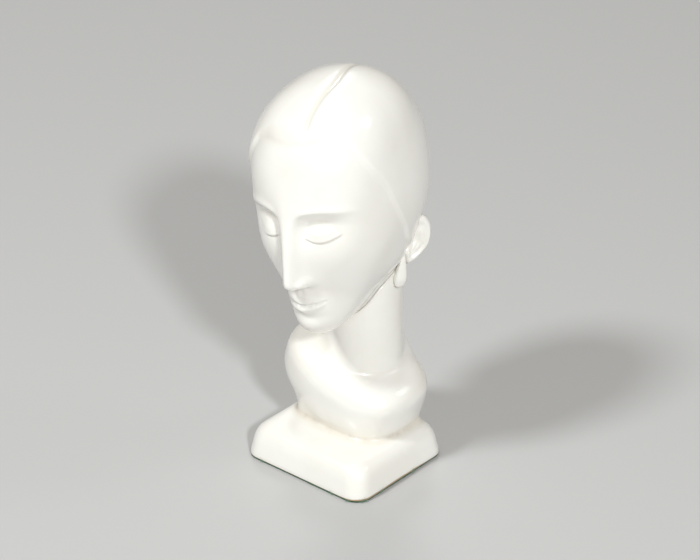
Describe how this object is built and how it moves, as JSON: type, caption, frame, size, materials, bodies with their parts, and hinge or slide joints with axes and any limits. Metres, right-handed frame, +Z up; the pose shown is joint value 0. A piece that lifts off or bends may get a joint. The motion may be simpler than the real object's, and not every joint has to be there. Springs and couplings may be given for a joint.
{
  "type": "art deco head bust statuette",
  "caption": "Cream-glazed ceramic bust of a calm head with close parted hair and drop earrings, on a long neck, rounded shoulder and low plinth.",
  "frame": {"origin": "middle of the underside of the felt pad, on the surface that the bust stands on", "axes": "+Z up along the neck; the plinth's front is towards -Y, and +X is the figure's left"},
  "size_m": [0.1254, 0.1546, 0.3085],
  "materials": {
    "glazed_ceramic": "cream-white glossy glaze over pale earthenware",
    "felt": "matt green felt"
  },
  "bodies": {
    "root": {"bust": "glazed_ceramic", "felt_pad": "felt"}
  },
  "joints": []
}
